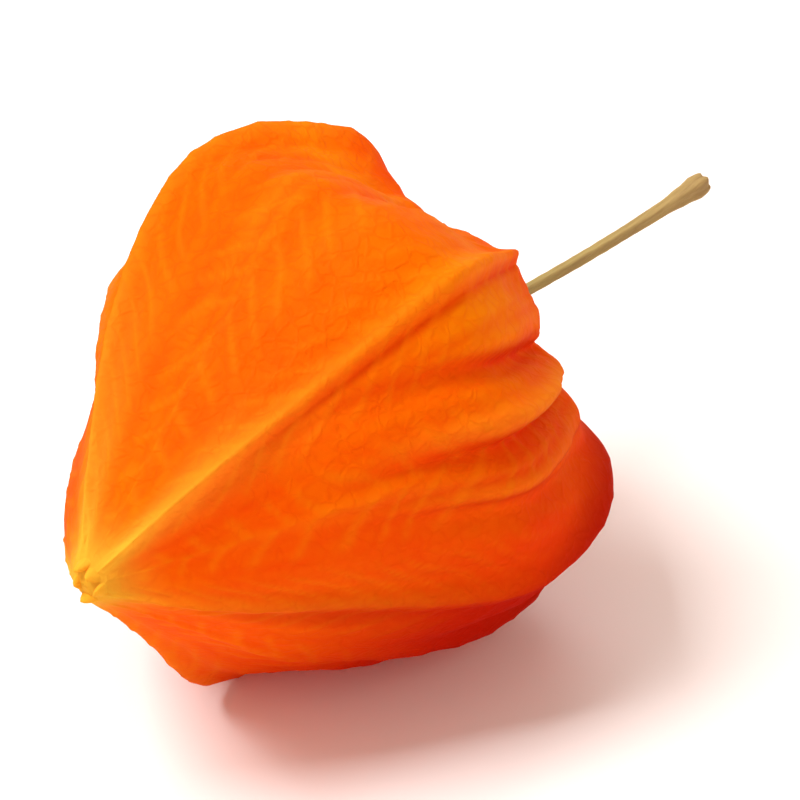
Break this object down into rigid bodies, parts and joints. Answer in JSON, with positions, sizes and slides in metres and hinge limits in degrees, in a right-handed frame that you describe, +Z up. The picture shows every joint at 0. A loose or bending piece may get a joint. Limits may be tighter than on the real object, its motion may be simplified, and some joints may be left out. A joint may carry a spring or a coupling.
{
  "type": "physalis berry",
  "caption": "Papery ribbed lantern husk of a physalis berry, with a folded sunken base, a toothed tip and its picked stalk, lying on its side.",
  "frame": {"origin": "on the surface the husk lies on, under the middle of the bounding box", "axes": "+Z up, +Y from the husk's tip towards the end of the stalk, +X to the right of that"},
  "size_m": [0.0446, 0.0822, 0.0433],
  "materials": {
    "husk": "thin dry husk, matte with a faint satin sheen",
    "stalk": "dry, matte"
  },
  "bodies": {
    "root": {"husk": "husk", "stalk": "stalk"}
  },
  "joints": []
}
